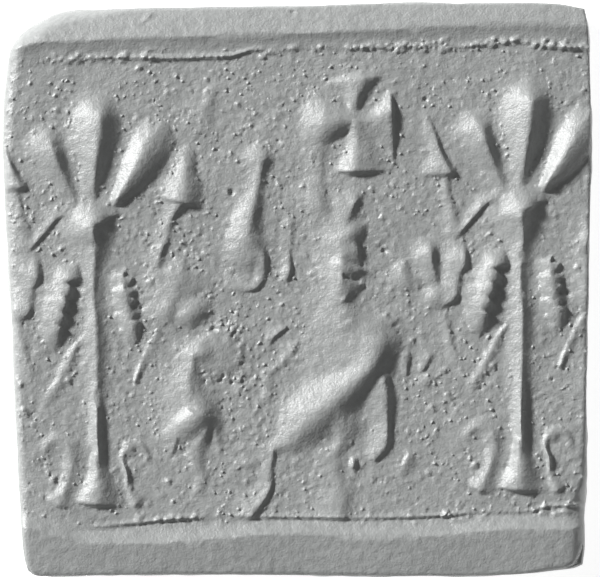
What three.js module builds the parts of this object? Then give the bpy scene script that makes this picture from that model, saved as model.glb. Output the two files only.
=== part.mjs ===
// Impression of a cylinder seal: a slab of modelling clay that the seal was
// rolled across for a little more than one turn.  The relief stands up from a
// sunk band between two smooth margins.  The slab lies on its flat back.
// Millimetres.  +X along the rolling, +Y up the seal's height, +Z out of the
// relief.  Origin in the middle of the underside.
import * as THREE from "three";

// ---------------------------------------------------------------- sizes
const GROUND = 6.2; // height of the rolled ground over the back
const TURN = 29.01; // one turn of the seal, measured along the slab
const CLIMB = 0.986; // how far one turn climbs up the slab
const SPREAD = 0.024; // the pictures spread apart towards the top
const GAIN = 0.1; // relief gets this share deeper from the middle to the right edge
const HEAVE = 0.55; // share of the relief that the soft clay takes up around it
const HEAVE_REACH = 0.95; // and how far away
const RIM_RADIUS = 0.8; // rounding of the slab's upper edge
const RIM_TURN = 0.86; // sine of the slope where the face ends and the wall starts
const WALL_FOOT = 0.55; // the wall turns in below this height
const FOOT_INSET = 0.35; // by this much at the table
const TOP_STEP = [0.27, 0.61]; // upper margin: rise of its first step and its run
const TOP_RIDGE = [0.18, 0.34]; // and of the second
const LOW_STEP = [0.48, 1.5]; // lower margin: rise and run
const CELL = 0.08; // raster that the relief is worked out on
const STEPS = 256; // finest division of the face
const FLAT = 0.07; // the face is divided until it is within this of the true form

// The four sides of the slab, each from corner to corner: bows and dents of a
// lump pressed out by hand.
const LEFT = [[-18.85, 17.4], [-19.5, 16.3], [-19.8, 14.2], [-20.0, 10.8], [-19.85, 5.7], [-19.5, 0], [-19.2, -7.5], [-18.8, -15], [-18.5, -18.2], [-18.25, -19.15]];
const RIGHT = [[19.65, 19.1], [19.9, 17.6], [20.05, 14.5], [20.1, 9.5], [20.0, 4.7], [19.9, -0.7], [19.8, -7.5], [19.8, -13], [19.68, -15.7], [19.7, -17.4], [19.55, -18.8]];
const UPPER = [[-18.85, 17.4], [-17.6, 18.2], [-16.3, 18.8], [-14.7, 19.0], [-11.3, 19.15], [-4.5, 19.25], [0.3, 19.3], [7, 19.5], [11.8, 19.45], [15.2, 19.5], [18, 19.4], [19.65, 19.1]];
const LOWER = [[-18.25, -19.15], [-17.8, -19.48], [-16, -19.54], [-6.5, -19.45], [2.3, -19.5], [9.8, -19.56], [13.9, -19.5], [17, -19.25], [19, -19.0], [19.55, -18.8]];

// Edges of the sunk band, as heights along X.
const UPPER_MARGIN = [[-21.5, 15.8], [-17.1, 16.7], [-5.8, 17.1], [5.6, 17.5], [14, 17.9], [20.7, 17.7]];
const UPPER_RIDGE = [[-21.5, 15.3], [-16.5, 15.6], [-11, 15.8], [-4.5, 16.0], [-2.9, 16.4], [5, 16.5], [12.5, 16.7], [15.2, 16.9], [17.6, 16.6], [20.7, 16.5]];
const LOWER_MARGIN = [[-21.5, -16], [-18.4, -16.2], [-14.5, -17.3], [-9.7, -17.3], [-4.5, -16.9], [0.5, -16.6], [7.6, -16.9], [12, -16.5], [20.7, -16]];

// Date palm.  Each frond has a tip and a root on its middle line, the half
// width and the rise at each, and a ridge line set off to the right by a share
// of the half width.
const FRONDS = [
  { tip: [-13.65, 11.75], root: [-13.95, 6.3], half: [1.75, 0.5], rise: [0.62, 0.2], ridge: 0.25 },
  { tip: [-17.2, 9.7], root: [-15.15, 5.95], half: [1.4, 0.4], rise: [0.41, 0.1], ridge: 0.4 },
  { tip: [-9.75, 10.1], root: [-12.3, 5.9], half: [1.35, 0.4], rise: [0.62, 0.36], ridge: 0.1 },
];
const BLADES = [
  // drooping fronds: point, blade foot, end of the stalk
  { point: [-20.3, 10.8], foot: [-19.5, 6.9], half: [0.25, 1.1], rise: [0.14, 0.45], stalk: [[-19.1, 6.6], [-18.8, 5.0], [-18.4, 3.0]] },
  { point: [-7.45, 9.3], foot: [-8.15, 6.2], half: [0.45, 1.35], rise: [0.25, 0.56], stalk: [[-8.0, 5.7], [-8.75, 4.4], [-9.5, 1.7]] },
];
const STALK = { half: 0.42, rise: 0.24 };
const CROWN = { from: [-15.2, 4.8], to: [-12.7, 5.6], half: 0.95, rise: 0.42 };
const TRUNK = { x: -13.75, top: 4.5, foot: -11.6, half: 0.85, rise: 0.36, topHalf: 1.6, topRise: 0.58 };
const TRUNK_FOOT = { x: -13.4, top: -11.3, foot: -14.7, half: [0.6, 1.7], rise: [0.4, 0.52] };
const DATES = [
  // clusters: first lump, step from lump to lump, lumps, reach to the left and right, half width, rise
  { first: [-15.95, 1.05], step: [-0.21, -0.93], lumps: 5, reach: [1.35, 0.75], half: 0.52, rise: 0.46, end: [-17.0, -3.4, 1.2, 0.9] },
  { first: [-11.7, 0.5], step: [0.13, -0.79], lumps: 5, reach: [0.75, 0.6], half: 0.42, rise: 0.36, end: [-11.2, -3.3, 0.7, 0.65] },
];
const BARS = [
  // straight and slightly bent strokes: half width, rise, ridge, points
  [0.4, 0.17, 0.15, [[-14.5, -3.4], [-15.6, -5.3], [-16.8, -7.5]]],
  [0.4, 0.15, 0.3, [[-19.4, -2.1], [-18.6, -4.3], [-18.1, -5.7]]],
  [0.34, 0.15, 0.15, [[-9.35, -3.0], [-10.2, -4.6], [-10.9, -6.2]]],
  [0.42, 0.18, 0.3, [[-18.2, 2.8], [-17.2, 3.9], [-16.4, 4.8], [-15.5, 5.35]]],
  [0.95, 0.27, 0.4, [[-18.1, 2.3], [-18.1, 1.1], [-18.6, -0.6], [-18.9, -1.8]]],
  [0.5, 0.13, 0.2, [[-5.7, 13.5], [-6.2, 12.4], [-6.65, 10.9]]],
  [0.34, 0.13, 0.2, [[7.75, -11.1], [7.6, -11.7], [7.2, -12.5]]],
];
const VOLUTES = [
  // curled shoots at the foot: centre and radius of the curl, start and end angle, then the stem's points
  { at: [-16.05, -11.2], radius: 0.9, from: 190, to: 0, stem: [[-15.2, -12.2], [-15.5, -13.4], [-16.0, -14.6]], half: 0.46, rise: 0.22 },
  { at: [-10.9, -11.55], radius: 0.85, from: -10, to: 180, stem: [[-11.6, -12.4], [-11.3, -13.5], [-10.8, -14.5]], half: 0.38, rise: 0.2 },
];

// Cross of four widening arms, each with its direction, length, half width at
// the hub and at the end, and rise at the end.
const CROSS = {
  hub: [4.1, 11.55],
  hubHalf: 0.3,
  hubRise: 0.2,
  arms: [
    { toward: 92, length: 2.75, half: 1.7, rise: 0.38, ridge: -0.3 },
    { toward: 181, length: 2.9, half: 1.9, rise: 0.36, ridge: 0.2 },
    { toward: 278, length: 3.5, half: 1.75, rise: 0.45, ridge: -0.3 },
    { toward: 354, length: 2.4, half: 2.2, rise: 0.4, ridge: 0.3 },
  ],
  band: [[1.3, 10.1, 0.95, 0.15], [1.35, 7.9, 0.6, 0.1], [1.4, 5.9, 0.95, 0.2], [2.0, 4.4, 0.6, 0.08]],
};

// Pear shaped thing: neck to body, its bulb, and the raised rim round the bulb.
const PEAR = {
  body: [[-2.6, 9.4, 0.7, 0.2], [-2.55, 8.2, 0.75, 0.24], [-2.8, 6.6, 0.8, 0.24], [-3.2, 4.95, 1.25, 0.38], [-3.45, 3.2, 1.6, 0.44]],
  bulb: [-3.4, 2.5, 1.4, 1.7, 0.27],
  rim: [[-4.5, 0.35], [-3.6, 0.12], [-2.7, 0.3], [-2.3, 1.3], [-2.4, 2.9]],
  rimHalf: 0.42,
  rimRise: 0.16,
};

// Long necked beast: joints of [x, y, half width, rise].
const BEAST = {
  ear: [[4.0, 6.3, 0.6, 0.17], [3.7, 5.6, 0.85, 0.18], [3.1, 4.2, 0.9, 0.14]],
  muzzle: [[1.8, 3.6, 0.4, 0.1], [2.7, 3.4, 0.85, 0.2], [3.8, 3.9, 0.7, 0.25]],
  ribs: { first: [2.95, 2.45], step: [0.0, -0.8], bend: 0.022, count: 7, reach: [1.3, 0.35], half: 0.46, rise: 0.42 },
  chest: [[2.7, -0.8, 1.3, 0.3], [3.2, -2.4, 1.9, 0.37], [4.2, -3.8, 2.7, 0.38], [4.9, -4.7, 1.9, 0.54]],
  trunk: [[5.2, -4.0, 2.0, 0.56], [4.5, -5.7, 1.55, 0.5], [2.5, -7.55, 2.05, 0.54], [1.1, -8.6, 2.2, 0.46], [-0.2, -10.05, 1.35, 0.3], [-1.45, -10.9, 0.55, 0.12]],
  hindLeg: [[-1.8, -10.9, 0.58, 0.16], [-2.0, -12.3, 0.62, 0.14], [-2.0, -13.6, 0.62, 0.15], [-2.6, -14.3, 0.55, 0.1]],
  foreLeg: [[5.65, -6.2, 0.95, 0.27], [5.65, -7.9, 1.2, 0.24], [5.9, -9.6, 0.8, 0.22], [5.2, -11.5, 0.4, 0.16]],
  secondLeg: [[3.4, -8.0, 1.2, 0.36], [3.3, -9.5, 1.0, 0.22], [3.0, -10.7, 0.5, 0.18], [2.1, -11.6, 0.3, 0.15]],
  farLeg: [[2.4, -11.5, 0.95, 0.15], [2.5, -12.7, 0.85, 0.13], [2.85, -13.7, 0.95, 0.14], [2.85, -14.7, 0.85, 0.14]],
  tail: [[-0.05, -3.6, 0.3, 0.1], [-1.0, -5.0, 0.37, 0.12], [-1.85, -5.8, 0.38, 0.12], [-1.95, -7.6, 0.34, 0.09]],
};

// Worn standing figure: a plain bump for the head, shoulders, waist, leg and haunch.
const FIGURE = {
  arm: [[-7.9, 1.4, 0.75, 0.18], [-8.1, 0.4, 1.2, 0.22], [-8.9, -1.4, 1.2, 0.23]],
  bumps: [[-8.1, 1.3, 0.5, 0.5, 0.24], [-7.1, -1.55, 1.25, 0.95, 0.4], [-6.65, -4.35, 1.2, 1.0, 0.38]],
  thigh: [[-7.1, -4.5, 0.97, 0.43], [-7.3, -5.6, 0.95, 0.3], [-7.5, -6.7, 1.3, 0.32], [-7.2, -7.6, 1.2, 0.34]],
  haunch: [[-6.4, -8.2, 1.4, 0.46], [-6.8, -8.9, 1.5, 0.62], [-7.95, -9.65, 1.05, 0.38], [-8.8, -10.1, 0.55, 0.12]],
  leg: [[-6.1, -9.6, 0.5, 0.34], [-6.7, -10.7, 0.55, 0.2], [-6.8, -11.8, 0.48, 0.18], [-6.5, -13.0, 0.34, 0.12]],
  patch: [-5.2, -4.4, 1.6, 1.75, 0.17],
};

// Worn group beside the beast: three bumps and the stems between them.
const GROUP = {
  bumps: [[8.7, 2.3, 0.72, 0.8, 0.24], [7.0, 1.05, 0.72, 0.8, 0.2], [9.5, -0.6, 1.0, 1.0, 0.32]],
  stems: [[[8.9, 2.6, 0.8, 0.25], [8.9, 1.5, 0.95, 0.25], [9.4, 0.0, 0.65, 0.14]], [[7.2, 1.2, 0.7, 0.22], [7.6, 0.6, 0.8, 0.2], [8.8, 0.2, 0.45, 0.06]]],
};

// ---------------------------------------------------------------- raster
const WIDE = 43;
const TALL = 42;
const NX = Math.round(WIDE / CELL) + 1;
const NY = Math.round(TALL / CELL) + 1;
const raster = new Float64Array(NX * NY);
const clamp = (v, lo, hi) => Math.min(hi, Math.max(lo, v));
const mix = (a, b, t) => a + (b - a) * t;
const smooth = (t) => {
  const c = clamp(t, 0, 1);
  return c * c * (3 - 2 * c);
};
const softMax = (a, b, k) => Math.max(a, b) + (k / 4) * Math.max(0, 1 - Math.abs(a - b) / k) ** 2;

function over(xa, xb, ya, yb, height) {
  const i0 = clamp(Math.floor((xa + WIDE / 2) / CELL), 0, NX - 1);
  const i1 = clamp(Math.ceil((xb + WIDE / 2) / CELL), 0, NX - 1);
  const j0 = clamp(Math.floor((ya + TALL / 2) / CELL), 0, NY - 1);
  const j1 = clamp(Math.ceil((yb + TALL / 2) / CELL), 0, NY - 1);
  for (let j = j0; j <= j1; j++)
    for (let i = i0; i <= i1; i++) {
      const z = height(i * CELL - WIDE / 2, j * CELL - TALL / 2);
      raster[j * NX + i] = softMax(raster[j * NX + i], z, 0.08);
    }
}

// Rounded cross-section: 1 on the ridge, 0 at the foot, below 0 outside.
const section = (r) => (r < 1 ? (1 - r ** 1.6) ** 1.15 : (1 - r) * 1.6);

// Where a point of the seal's picture lands on the k-th turn.
function landed(k, x, y) {
  const yy = y + CLIMB * k;
  return [x + k * (TURN + SPREAD * yy), yy];
}
const deep = (x) => 1 + (GAIN * x) / 20;

// A stroke through joints [x, y, half width, rise]; ridge sets its crest off
// to the right, and a cut end slopes off over the given length.
function stroke(joints, ridge = 0, cutEnd = 0) {
  for (let k = -1; k <= 1; k++) {
    const ctrl = joints.map(([x, y, w, h]) => {
      const [X, Y] = landed(k, x, y);
      return [X, Y, w, h * deep(X)];
    });
    const path = [];
    const n = ctrl.length;
    for (let s = 0; s < n - 1; s++) {
      const a = ctrl[Math.max(0, s - 1)];
      const b = ctrl[s];
      const c = ctrl[s + 1];
      const d = ctrl[Math.min(n - 1, s + 2)];
      for (let q = 0; q < 5; q++) {
        const t = q / 5;
        path.push(b.map((_, m) => 0.5 * (2 * b[m] + (c[m] - a[m]) * t + (2 * a[m] - 5 * b[m] + 4 * c[m] - d[m]) * t * t + (3 * b[m] - a[m] - 3 * c[m] + d[m]) * t ** 3)));
      }
    }
    path.push(ctrl[n - 1]);
    const widest = Math.max(...path.map((p) => p[2])) * 1.25 + 0.25;
    const xs = path.map((p) => p[0]);
    const ys = path.map((p) => p[1]);
    const last = path.length - 2;
    const [hx, hy] = [path[path.length - 1][0] - path[0][0], path[path.length - 1][1] - path[0][1]];
    // the crest's side: to the right for a stroke that runs downwards
    const side = Math.abs(hy) > 0.25 * Math.abs(hx) ? (hy < 0 ? -1 : 1) : hx < 0 ? 1 : -1;
    const crest = ridge * side;
    over(Math.min(...xs) - widest, Math.max(...xs) + widest, Math.min(...ys) - widest, Math.max(...ys) + widest, (x, y) => {
      let far = Infinity;
      let lat = 0;
      let past = 0;
      let half = 1;
      let rise = 0;
      for (let s = 0; s <= last; s++) {
        const [ax, ay, aw, ah] = path[s];
        const [bx, by, bw, bh] = path[s + 1];
        const dx = bx - ax;
        const dy = by - ay;
        const len = Math.hypot(dx, dy) + 1e-9;
        const raw = ((x - ax) * dx + (y - ay) * dy) / (len * len);
        const t = clamp(raw, 0, 1);
        const d = Math.hypot(x - ax - t * dx, y - ay - t * dy);
        if (d >= far) continue;
        far = d;
        const cross = (dy * (x - ax) - dx * (y - ay)) / len; // > 0 on the right of the travel
        lat = cross >= 0 ? d : -d;
        past = 0;
        if (s === 0 && raw < 0) [lat, past] = [cross, raw * len];
        if (s === last && raw > 1) [lat, past] = [cross, (raw - 1) * len];
        half = mix(aw, bw, t);
        rise = mix(ah, bh, t);
      }
      const s = lat / half;
      let r = s < crest ? (crest - s) / (1 + crest) : (s - crest) / (1 - crest);
      let drop = 0;
      if (past < 0 || (past > 0 && !cutEnd)) r = Math.hypot(r, past / half);
      else if (past > 0) drop = Math.min(past / cutEnd, 3);
      return rise * (section(r) - drop);
    });
  }
}

function bump([x, y, rx, ry, rise]) {
  for (let k = -1; k <= 1; k++) {
    const [X, Y] = landed(k, x, y);
    over(X - rx * 1.3 - 0.2, X + rx * 1.3 + 0.2, Y - ry * 1.3 - 0.2, Y + ry * 1.3 + 0.2, (u, v) => rise * deep(X) * section(Math.hypot((u - X) / rx, (v - Y) / ry)));
  }
}

// ---------------------------------------------------------------- the picture
function taper(from, to, half, rise, ease = 1, parts = 3) {
  const joints = [];
  for (let i = 0; i <= parts; i++) {
    const t = i / parts;
    joints.push([mix(from[0], to[0], t), mix(from[1], to[1], t), mix(half[0], half[1], t ** ease), mix(rise[0], rise[1], t ** ease)]);
  }
  return joints;
}
const even = (points, half, rise) => points.map(([x, y], i) => [x, y, half * (i === 0 || i === points.length - 1 ? 0.8 : 1), rise * (i === 0 || i === points.length - 1 ? 0.75 : 1)]);

function palm() {
  for (const f of FRONDS) stroke(taper(f.tip, f.root, f.half, f.rise, 1.5), f.ridge);
  for (const b of BLADES) {
    stroke(taper(b.point, b.foot, b.half, b.rise, 1.4), 0.45, 0.34);
    stroke(even(b.stalk, STALK.half, STALK.rise), 0.25);
  }
  stroke(taper(CROWN.from, CROWN.to, [CROWN.half, CROWN.half], [CROWN.rise, CROWN.rise]));
  stroke([[TRUNK.x, TRUNK.top, TRUNK.topHalf, TRUNK.topRise], ...taper([TRUNK.x, TRUNK.top - 1.8], [TRUNK.x + 0.2, TRUNK.foot], [TRUNK.half, TRUNK.half], [TRUNK.rise, TRUNK.rise])], 0.3);
  stroke(taper([TRUNK_FOOT.x, TRUNK_FOOT.top], [TRUNK_FOOT.x, TRUNK_FOOT.foot], TRUNK_FOOT.half, TRUNK_FOOT.rise, 1.3), 0, 0.24);
  for (const c of DATES) {
    for (let i = 0; i < c.lumps; i++) {
      const x = c.first[0] + i * c.step[0];
      const y = c.first[1] + i * c.step[1];
      stroke([[x - c.reach[0], y - 0.05, c.half * 0.8, c.rise * 0.35], [x, y, c.half, c.rise * 0.8], [x + c.reach[1], y + 0.1, c.half, c.rise]], 0, 0.2);
    }
    bump([...c.end, c.rise * 0.6]);
  }
  for (const v of VOLUTES) {
    const curl = [];
    for (let i = 0; i <= 4; i++) {
      const a = (mix(v.from, v.to, i / 4) * Math.PI) / 180;
      curl.push([v.at[0] + v.radius * Math.cos(a), v.at[1] + v.radius * Math.sin(a), v.half * mix(0.6, 1, Math.min(1, i / 2)), v.rise * mix(0.5, 1, Math.min(1, i / 2))]);
    }
    stroke([...curl, ...v.stem.map(([x, y], i) => [x, y, v.half * (1 + 0.25 * i), v.rise * (1 + 0.1 * i)])], 0.1, 0.27);
  }
}

function cross() {
  for (const arm of CROSS.arms) {
    const a = (arm.toward * Math.PI) / 180;
    const end = [CROSS.hub[0] + arm.length * Math.cos(a), CROSS.hub[1] + arm.length * Math.sin(a)];
    stroke(taper(CROSS.hub, end, [CROSS.hubHalf, arm.half], [CROSS.hubRise, arm.rise], 1.2), arm.ridge, 0.4);
  }
  stroke(CROSS.band, 0.3);
}

function beast() {
  const { ribs } = BEAST;
  for (let i = 0; i < ribs.count; i++) {
    const x = ribs.first[0] + i * ribs.step[0] + ribs.bend * i * i;
    const y = ribs.first[1] + i * ribs.step[1];
    stroke([[x - ribs.reach[0], y - 0.1, ribs.half * 0.8, ribs.rise * 0.25], [x - 0.4, y - 0.1, ribs.half, ribs.rise * 0.7], [x + ribs.reach[1], y + 0.05, ribs.half, ribs.rise]], 0, 0.2);
  }
  for (const part of ["ear", "muzzle", "chest", "trunk", "hindLeg", "foreLeg", "secondLeg", "farLeg", "tail"]) stroke(BEAST[part], part === "trunk" ? 0.1 : 0.3);
}

function figure() {
  FIGURE.bumps.forEach(bump);
  bump(FIGURE.patch);
  for (const part of ["arm", "thigh", "haunch", "leg"]) stroke(FIGURE[part], 0.1);
}

palm();
for (const [half, rise, ridge, points] of BARS) stroke(even(points, half, rise), ridge);
cross();
stroke(PEAR.body, 0.2);
bump(PEAR.bulb);
stroke(even(PEAR.rim, PEAR.rimHalf, PEAR.rimRise));
beast();
figure();
GROUP.bumps.forEach(bump);
GROUP.stems.forEach((s) => stroke(s, 0.3));

// The clay around the pictures is drawn up a little with them.
function blurred(src, sigma) {
  const reach = Math.ceil((2.5 * sigma) / CELL);
  const weight = [];
  let sum = 0;
  for (let i = -reach; i <= reach; i++) {
    weight.push(Math.exp(-0.5 * ((i * CELL) / sigma) ** 2));
    sum += weight[weight.length - 1];
  }
  const pass = (from, stepOf, count, lines, lineOf) => {
    const to = new Float64Array(from.length);
    for (let l = 0; l < lines; l++)
      for (let i = 0; i < count; i++) {
        let acc = 0;
        for (let q = -reach; q <= reach; q++) acc += weight[q + reach] * from[l * lineOf + clamp(i + q, 0, count - 1) * stepOf];
        to[l * lineOf + i * stepOf] = acc / sum;
      }
    return to;
  };
  return pass(pass(src, 1, NX, NY, NX), NX, NY, NX, 1);
}
const relief = blurred(raster, 0.07);
const heave = blurred(raster, HEAVE_REACH);

const along = (points, x) => {
  let i = 0;
  while (i < points.length - 2 && x > points[i + 1][0]) i++;
  const [xa, ya] = points[i];
  const [xb, yb] = points[i + 1];
  const t = clamp((x - xa) / (xb - xa), 0, 1);
  return mix(ya, yb, t * t * (3 - 2 * t) * 0.5 + t * 0.5);
};

function faceHeight(x, y) {
  const fx = clamp((x + WIDE / 2) / CELL, 0, NX - 1.001);
  const fy = clamp((y + TALL / 2) / CELL, 0, NY - 1.001);
  const i = Math.floor(fx);
  const j = Math.floor(fy);
  const [tx, ty] = [fx - i, fy - j];
  const read = (m) => mix(mix(m[j * NX + i], m[j * NX + i + 1], tx), mix(m[(j + 1) * NX + i], m[(j + 1) * NX + i + 1], tx), ty);
  const upper = along(UPPER_MARGIN, x);
  const ridge = along(UPPER_RIDGE, x);
  const lower = along(LOWER_MARGIN, x);
  const inside = smooth((upper - 0.4 - y) / 0.55) * smooth((y - lower - 0.55) / 0.7);
  let z = inside * (read(relief) + HEAVE * read(heave));
  z += TOP_STEP[0] * smooth((y - upper + 0.34) / TOP_STEP[1]) + TOP_RIDGE[0] * smooth((y - ridge + 0.27) / TOP_RIDGE[1]);
  z += LOW_STEP[0] * smooth((lower + 1.36 - y) / LOW_STEP[1]);
  return GROUND + z;
}

// ---------------------------------------------------------------- the slab
// The face: a patch stretched between the four sides, inset by the part of the
// rim's rounding that the wall takes over.
const inset = RIM_RADIUS * (1 - RIM_TURN);
const sideCurve = (points) => new THREE.CatmullRomCurve3(points.map(([x, y]) => new THREE.Vector3(x, y, 0)), false, "centripetal");
const sides = { left: sideCurve([...LEFT].reverse()), right: sideCurve([...RIGHT].reverse()), lower: sideCurve(LOWER), upper: sideCurve(UPPER) };
const N = STEPS + 1;
const sampled = {};
for (const [name, curve] of Object.entries(sides)) {
  curve.arcLengthDivisions = 1200;
  sampled[name] = curve.getSpacedPoints(STEPS).map((p) => [p.x, p.y]);
}
// the closed outline, anticlockwise, with the outward direction at each point
const outline = [...sampled.lower.slice(0, -1), ...sampled.right.slice(0, -1), ...[...sampled.upper].reverse().slice(0, -1), ...[...sampled.left].reverse().slice(0, -1)];
const outward = outline.map((_, i) => {
  const reach = 3;
  const a = outline[(i + outline.length - reach) % outline.length];
  const b = outline[(i + reach) % outline.length];
  const len = Math.hypot(b[0] - a[0], b[1] - a[1]);
  return [(b[1] - a[1]) / len, -(b[0] - a[0]) / len];
});
const rimPoint = (i) => [outline[i][0] - outward[i][0] * inset, outline[i][1] - outward[i][1] * inset];
const low = (i) => rimPoint(i);
const right = (j) => rimPoint(STEPS + j);
const up = (i) => rimPoint((3 * STEPS - i) % outline.length);
const left = (j) => rimPoint((4 * STEPS - j) % outline.length);

const px = new Float64Array(N * N);
const py = new Float64Array(N * N);
const pz = new Float64Array(N * N);
for (let j = 0; j < N; j++)
  for (let i = 0; i < N; i++) {
    const u = i / STEPS;
    const v = j / STEPS;
    const p = [0, 1].map((m) => mix(low(i)[m], up(i)[m], v) + mix(left(j)[m], right(j)[m], u) - mix(mix(low(0)[m], low(STEPS)[m], u), mix(up(0)[m], up(STEPS)[m], u), v));
    const q = j * N + i;
    [px[q], py[q]] = p;
    let near = Infinity;
    if (Math.min(i, j, STEPS - i, STEPS - j) < 24)
      for (let s = 0; s < outline.length; s += 1) near = Math.min(near, Math.hypot(outline[s][0] - p[0], outline[s][1] - p[1]));
    const turn = clamp(1 - near / RIM_RADIUS, 0, RIM_TURN);
    pz[q] = faceHeight(p[0], p[1]) - RIM_RADIUS * (1 - Math.sqrt(1 - turn * turn));
  }

// Right-angled triangles are halved where the face isn't flat enough yet.
const misfit = new Float64Array(N * N);
const gap = (m, a, b) => Math.hypot(px[m] - (px[a] + px[b]) / 2, py[m] - (py[a] + py[b]) / 2, pz[m] - (pz[a] + pz[b]) / 2);
const smallest = STEPS * STEPS;
const triangleCount = smallest * 2 - 2;
const parentCount = triangleCount - smallest;
for (let i = triangleCount - 1; i >= 0; i--) {
  let id = i + 2;
  let [ax, ay, bx, by, cx, cy] = [0, 0, 0, 0, 0, 0];
  if (id & 1) bx = by = cx = STEPS;
  else ax = ay = cy = STEPS;
  while ((id >>= 1) > 1) {
    const mx = (ax + bx) >> 1;
    const my = (ay + by) >> 1;
    if (id & 1) [bx, by, ax, ay] = [ax, ay, cx, cy];
    else [ax, ay, bx, by] = [bx, by, cx, cy];
    [cx, cy] = [mx, my];
  }
  const mid = ((ay + by) >> 1) * N + ((ax + bx) >> 1);
  misfit[mid] = Math.max(misfit[mid], gap(mid, ay * N + ax, by * N + bx));
  if (i < parentCount) {
    const lm = ((ay + cy) >> 1) * N + ((ax + cx) >> 1);
    const rm = ((by + cy) >> 1) * N + ((bx + cx) >> 1);
    misfit[mid] = Math.max(misfit[mid], misfit[lm], misfit[rm]);
  }
}
const positions = [];
const faces = [];
const seen = new Map();
const vertex = (x, y) => {
  const q = y * N + x;
  if (!seen.has(q)) {
    seen.set(q, positions.length / 3);
    positions.push(px[q], py[q], pz[q]);
  }
  return seen.get(q);
};
function divide(ax, ay, bx, by, cx, cy) {
  const mx = (ax + bx) >> 1;
  const my = (ay + by) >> 1;
  if (Math.abs(ax - cx) + Math.abs(ay - cy) > 1 && misfit[my * N + mx] > FLAT) {
    divide(cx, cy, ax, ay, mx, my);
    divide(bx, by, cx, cy, mx, my);
  } else faces.push(vertex(ax, ay), vertex(bx, by), vertex(cx, cy));
}
divide(0, 0, STEPS, STEPS, STEPS, 0);
divide(STEPS, STEPS, 0, 0, 0, STEPS);
// faces look up
for (let f = 0; f < faces.length; f += 3) {
  const [a, b, c] = faces.slice(f, f + 3).map((v) => positions.slice(3 * v, 3 * v + 2));
  if ((b[0] - a[0]) * (c[1] - a[1]) - (b[1] - a[1]) * (c[0] - a[0]) < 0) [faces[f + 1], faces[f + 2]] = [faces[f + 2], faces[f + 1]];
}

// The wall: from the rim out to the full outline, down, and in at the foot.
const loop = [];
for (let i = 0; i < STEPS; i++) loop.push([i, 0]);
for (let j = 0; j < STEPS; j++) loop.push([STEPS, j]);
for (let i = STEPS; i > 0; i--) loop.push([i, STEPS]);
for (let j = STEPS; j > 0; j--) loop.push([0, j]);
const rim = loop.map(([i, j], s) => ({ q: j * N + i, s })).filter(({ q }) => seen.has(q));
const ring = (offset, heightOf) =>
  rim.map(({ q, s }) => {
    positions.push(outline[s][0] - outward[s][0] * offset, outline[s][1] - outward[s][1] * offset, heightOf(pz[q]));
    return positions.length / 3 - 1;
  });
const rings = [
  rim.map(({ q }) => seen.get(q)),
  ring(0, (z) => z - RIM_RADIUS * Math.sqrt(1 - RIM_TURN * RIM_TURN)),
  ring(0, () => WALL_FOOT),
  ring(FOOT_INSET, () => 0),
];
for (let r = 0; r < rings.length - 1; r++)
  for (let s = 0; s < rim.length; s++) {
    const t = (s + 1) % rim.length;
    faces.push(rings[r][s], rings[r + 1][s], rings[r + 1][t], rings[r][s], rings[r + 1][t], rings[r][t]);
  }
// The flat back.
positions.push(0, 0, 0);
const middle = positions.length / 3 - 1;
const foot = rings[rings.length - 1];
for (let s = 0; s < foot.length; s++) faces.push(foot[(s + 1) % foot.length], foot[s], middle);

const geometry = new THREE.BufferGeometry();
geometry.setAttribute("position", new THREE.Float32BufferAttribute(positions, 3));
geometry.setIndex(faces);
geometry.computeBoundingBox();
const box = geometry.boundingBox;
geometry.translate(-(box.min.x + box.max.x) / 2, -(box.min.y + box.max.y) / 2, -box.min.z);
geometry.computeVertexNormals();

const clay = new THREE.MeshStandardMaterial({ name: "modelling clay", color: 0x8f9290, roughness: 0.55, metalness: 0 });
const slab = new THREE.Mesh(geometry, clay);
slab.name = "impression_slab";

const part = new THREE.Group();
part.name = "cylinder_seal_impression";
part.add(slab);

export default part;
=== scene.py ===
import math

import bpy
import numpy as np
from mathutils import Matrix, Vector


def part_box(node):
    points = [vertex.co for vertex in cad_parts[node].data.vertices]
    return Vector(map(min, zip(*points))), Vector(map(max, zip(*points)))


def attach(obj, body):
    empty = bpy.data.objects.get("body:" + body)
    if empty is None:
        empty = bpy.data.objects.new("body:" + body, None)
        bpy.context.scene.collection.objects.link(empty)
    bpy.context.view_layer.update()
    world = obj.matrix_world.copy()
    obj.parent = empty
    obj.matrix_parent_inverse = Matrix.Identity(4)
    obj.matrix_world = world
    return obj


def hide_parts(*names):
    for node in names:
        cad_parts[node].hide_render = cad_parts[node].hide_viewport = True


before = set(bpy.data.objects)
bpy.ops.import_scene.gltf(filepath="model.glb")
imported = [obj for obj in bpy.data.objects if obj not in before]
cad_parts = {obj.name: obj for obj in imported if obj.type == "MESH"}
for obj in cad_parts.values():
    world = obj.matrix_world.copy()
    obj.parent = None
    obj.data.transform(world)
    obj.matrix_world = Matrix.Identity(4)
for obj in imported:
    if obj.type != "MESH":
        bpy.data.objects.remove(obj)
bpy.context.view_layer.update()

node_lo, node_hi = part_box("impression_slab")

# Lengths are in millimetres until the mesh is made: x along the rolling, y up
# the seal's height, z out of the relief.
# ---------------------------------------------------------------- relief
GROUND = 6.2  # the rolled ground above the back
TURN, CLIMB, SPREAD = 29.01, 0.986, 0.024  # one turn of the seal along the slab
CELL = 0.034
WIDE, TALL = 43.0, 42.0
GX = np.arange(-WIDE / 2, WIDE / 2 + CELL / 2, CELL)
GY = np.arange(-TALL / 2, TALL / 2 + CELL / 2, CELL)


def smooth(t):
    t = np.clip(t, 0, 1)
    return t * t * (3 - 2 * t)


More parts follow.
